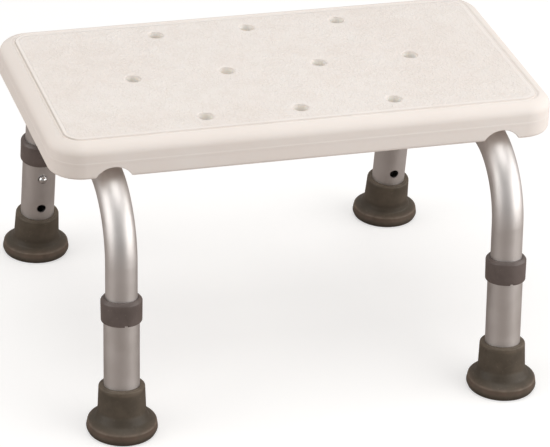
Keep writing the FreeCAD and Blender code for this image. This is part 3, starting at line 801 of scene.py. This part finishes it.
def rubber_tip(leg):
    """The rubber tip, whose rings are level in the foot and lean over into the sleeve."""
    turn = leg_matrix(leg)
    foot = turn.translation
    up = Vector((0, 0, 1))
    tilt = up.rotation_difference(turn.to_3x3() @ up)
    rings = []
    for radius, height in tip_profile():
        share = min(1.0, max(0.0, (height - FLARE_FROM) / (FLARE_TO - FLARE_FROM)))
        share = share * share * (3 - 2 * share)
        in_socket = radius <= LEG_RADIUS + HAIR and height > 2 * TREAD_DEPTH
        if in_socket:
            share = 1.0
        leaning = Matrix.Rotation(tilt.angle * share, 3, tilt.axis)
        ring = []
        for step in range(TURN_STEPS):
            angle = math.tau * step / TURN_STEPS
            spoke = Vector((math.cos(angle), math.sin(angle), 0))
            ring.append(foot + leaning @ (spoke * radius + up * height))
        rings.append(ring)
    tip = shaded(object_from("tip_" + leg, loft(rings)), sharp_degrees=50)
    return placed(tip, TIP_RUBBER, "tip_rubber", "leg_" + leg, "rubber_tip_" + leg)


def button(leg):
    """The snap button: a polished dome, a flange on the spring and a rivet through it."""
    spring_back = SPRING_FACE - SPRING_THICKNESS
    profile = [
        (AXIS_RADIUS, RIVET_END),
        (RIVET_HEAD_RADIUS - 0.4 * MM, RIVET_END),
        (RIVET_HEAD_RADIUS, RIVET_END + 0.3 * MM),
        (RIVET_HEAD_RADIUS, spring_back),
        (RIVET_RADIUS, spring_back),
        (RIVET_RADIUS, SPRING_FACE),
        (FLANGE_RADIUS, SPRING_FACE),
        (FLANGE_RADIUS, FLANGE_TOP),
        (BUTTON_RADIUS, FLANGE_TOP),
    ]
    centre = BUTTON_TOP - BUTTON_DOME
    edge = math.asin(BUTTON_RADIUS / BUTTON_DOME)
    for step in range(BUTTON_STEPS + 1):
        angle = edge * (1 - step / BUTTON_STEPS)
        radius = max(BUTTON_DOME * math.sin(angle), 0.02 * MM)
        profile.append((radius, centre + BUTTON_DOME * math.cos(angle)))
    body = object_from("button_dome_" + leg, loft(turned_rings(profile, SMALL_TURN_STEPS)))
    body.data.transform(button_matrix())
    body.data.transform(leg_matrix(leg))
    body = shaded(body)
    return placed(body, BUTTON_STEEL, "button_steel", "button_" + leg, "snap_button_" + leg)


def button_spring(leg):
    """The leaf spring behind the button: a bent strip with a hole for the button's rivet."""
    middle = SPRING_FACE - SPRING_THICKNESS / 2
    bend_top = SPRING_CROWN + SPRING_BEND
    bend_radius = 0.98 * SPRING_BEND
    path = softened([
        (-middle, SPRING_LOW, 0),
        (-middle, SPRING_LEAN, 8 * MM),
        (-SPRING_BEND, SPRING_CROWN, 4 * MM),
        (-SPRING_BEND, bend_top, bend_radius),
        (SPRING_BEND, bend_top, bend_radius),
        (SPRING_BEND, SPRING_CROWN, 0),
        (10.25 * MM, 76 * MM, 2 * MM),
        (8.65 * MM, 71 * MM, 0),
    ])
    rings = []
    for index, point in enumerate(path):
        along = path[min(index + 1, len(path) - 1)] - path[max(index - 1, 0)]
        across = Vector((along.y, -along.x)).normalized()
        ring = []
        for corner in rounded_ring(SPRING_HALF_WIDTH, SPRING_THICKNESS / 2, 0.2 * MM, 0, 2):
            y, z = point + across * corner.y
            ring.append(Vector((corner.x, y, z)))
        rings.append(ring)
    leaf = object_from("button_leaf_" + leg, loft(rings))
    hole_profile = [(RIVET_HOLE_RADIUS, height) for height in RIVET_HOLE]
    hole = object_from("rivet_cutter", loft(turned_rings(hole_profile, RIVET_HOLE_STEPS)))
    hole.data.transform(button_matrix())
    leaf = shaded(carved(leaf, [hole]))
    turn = leg_matrix(leg)
    leaf.data.transform(turn)
    finished(leaf, STEEL, "steel", "button_spring_" + leg)
    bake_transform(leaf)
    return leaf


# ---------------------------------------------------------------- stage

CAMERA_AZIMUTH = math.radians(17.952)       # of the view's direction, from +Y towards +X
CAMERA_ELEVATION = math.radians(28.044)
CAMERA_ROLL = math.radians(2.887)
CAMERA_DISTANCE = 2.6018
CAMERA_TARGET = Vector((-0.02880, -0.11454, 0.150))
CAMERA_CLIP = (0.1, 60)
SENSOR_WIDTH = 36.0
FOCAL_SHARE = 3292.66 / 550                 # focal length over picture width
FLOOR_HALF = 30.0
FLOOR_COLOUR = (0.60, 0.597, 0.593, 1)
FLOOR_GLOW = 0.50
BOUNCE_COLOUR = (0.53, 0.48, 0.45, 1)
GROUND_COLOUR = (0.45, 0.395, 0.365, 1)
WORLD_COLOUR = (1.0, 0.985, 0.97, 1)
WORLD_STRENGTH = 0.36
LIGHT_COLOUR = (1.0, 0.98, 0.955)
LIGHT_TARGET = Vector((0, 0, 0.12))


def camera():
    """The camera at the viewing angle, with the slight roll of the picture."""
    forward = Vector((
        math.sin(CAMERA_AZIMUTH) * math.cos(CAMERA_ELEVATION),
        math.cos(CAMERA_AZIMUTH) * math.cos(CAMERA_ELEVATION),
        -math.sin(CAMERA_ELEVATION),
    ))
    right = Vector((math.cos(CAMERA_AZIMUTH), -math.sin(CAMERA_AZIMUTH), 0))
    above = right.cross(forward)
    rolled_right = right * math.cos(CAMERA_ROLL) + above * math.sin(CAMERA_ROLL)
    rolled_above = above * math.cos(CAMERA_ROLL) - right * math.sin(CAMERA_ROLL)
    data = bpy.data.cameras.new("camera")
    data.sensor_width = SENSOR_WIDTH
    data.lens = FOCAL_SHARE * SENSOR_WIDTH
    data.clip_start, data.clip_end = CAMERA_CLIP
    obj = bpy.data.objects.new("camera", data)
    turn = Matrix((rolled_right, rolled_above, -forward)).transposed().to_4x4()
    obj.matrix_world = Matrix.Translation(CAMERA_TARGET - forward * CAMERA_DISTANCE) @ turn
    bpy.context.scene.collection.objects.link(obj)
    bpy.context.scene.camera = obj


def softbox(name, bearing, distance, height, width, tall, power):
    """A soft rectangular light that stands at a bearing round the stool and faces it."""
    data = bpy.data.lights.new(name, "AREA")
    data.shape = "RECTANGLE"
    data.size = width
    data.size_y = tall
    data.energy = power
    data.color = LIGHT_COLOUR
    obj = bpy.data.objects.new(name, data)
    angle = math.radians(bearing)
    obj.location = (distance * math.cos(angle), distance * math.sin(angle), height)
    obj.rotation_mode = "QUATERNION"
    obj.rotation_quaternion = (LIGHT_TARGET - obj.location).to_track_quat("-Z", "Y")
    bpy.context.scene.collection.objects.link(obj)


def ground_plane(name, z, colour, glow=0.0):
    """A large level plane, plain coloured, that may glow a little."""
    mesh = bmesh.new()
    bmesh.ops.create_grid(mesh, x_segments=1, y_segments=1, size=FLOOR_HALF)
    obj = object_from(name, mesh)
    obj.location.z = z
    material, shader = new_material(name)
    shader.inputs["Base Color"].default_value = colour
    shader.inputs["Roughness"].default_value = 0.9
    shader.inputs["Specular IOR Level"].default_value = 0.1
    shader.inputs["Emission Color"].default_value = (1.0, 1.0, 1.0, 1)
    shader.inputs["Emission Strength"].default_value = glow
    obj.data.materials.append(material)
    return obj


def stage():
    """A plain pale floor for the camera, two darker planes that light and reflect, and lights."""
    floor = ground_plane("floor", -0.1 * MM, FLOOR_COLOUR, FLOOR_GLOW)
    floor.visible_glossy = False
    floor.visible_diffuse = False
    floor.visible_shadow = False
    bounce = ground_plane("bounce", -1 * MM, BOUNCE_COLOUR)
    bounce.visible_camera = False
    bounce.visible_glossy = False
    bounce.visible_shadow = False
    ground = ground_plane("ground", -2 * MM, GROUND_COLOUR)
    ground.visible_camera = False
    ground.visible_diffuse = False
    world = bpy.data.worlds.new("studio")
    bpy.context.scene.world = world
    world.use_nodes = True
    background = world.node_tree.nodes["Background"]
    background.inputs["Color"].default_value = WORLD_COLOUR
    background.inputs["Strength"].default_value = WORLD_STRENGTH
    softbox("left_box", bearing=184, distance=1.7, height=0.75, width=1.4, tall=1.5, power=12.6)
    softbox("right_box", bearing=331, distance=1.7, height=0.70, width=2.4, tall=1.4, power=23)
    softbox("top_box", bearing=0, distance=0.1, height=2.3, width=1.8, tall=1.8, power=20.5)
    bpy.context.scene.view_settings.view_transform = "Standard"


# ---------------------------------------------------------------- the whole

SEAT_PLASTIC = seat_plastic(
    SEAT_HALF_X - FIELD_INSET, SEAT_HALF_Y - FIELD_INSET, SEAT_CORNER - FIELD_INSET, SEAT_TOP,
)
FRAME_ALUMINIUM = aluminium(
    "frame_aluminium", (0.77, 0.745, 0.735, 1), (0.72, 0.695, 0.68, 1), roughness=0.42,
)
LEG_ALUMINIUM = aluminium(
    "leg_aluminium", (0.77, 0.745, 0.735, 1), (0.71, 0.685, 0.67, 1), roughness=0.40,
)
COLLAR_PLASTIC, _ = moulded(
    "collar_plastic", (0.135, 0.107, 0.098, 1), (0.108, 0.086, 0.078, 1),
    roughness=0.32, grain=0.03 * MM, specular=0.5,
)
TIP_RUBBER = tip_rubber()
BUTTON_STEEL = metal(
    "button_steel", (0.80, 0.80, 0.80, 1), (0.72, 0.72, 0.72, 1), roughness=0.06,
)
STEEL = metal("steel", (0.62, 0.62, 0.62, 1), (0.50, 0.50, 0.50, 1), roughness=0.28)
BRASS = metal("brass", (0.78, 0.60, 0.28, 1), (0.62, 0.46, 0.20, 1), roughness=0.25)

# The CAD nodes that stay in view, by the start of their names.
CAD_FINISHES = {
    "frame_tube": FRAME_ALUMINIUM,
    "leg_tube": LEG_ALUMINIUM,
    "tip_washer": STEEL,
    "frame_bolt": STEEL,
    "saddle_washer": COLLAR_PLASTIC,
    "seat_insert": BRASS,
}

camera()
stage()
seat()
for leg in LEGS:
    collar(leg)
    rubber_tip(leg)
    button(leg)
    button_spring(leg)
for name, node in frame["nodes"].items():
    for kind, material in CAD_FINISHES.items():
        if name.startswith(kind):
            node.data.materials.clear()
            node.data.materials.append(material)
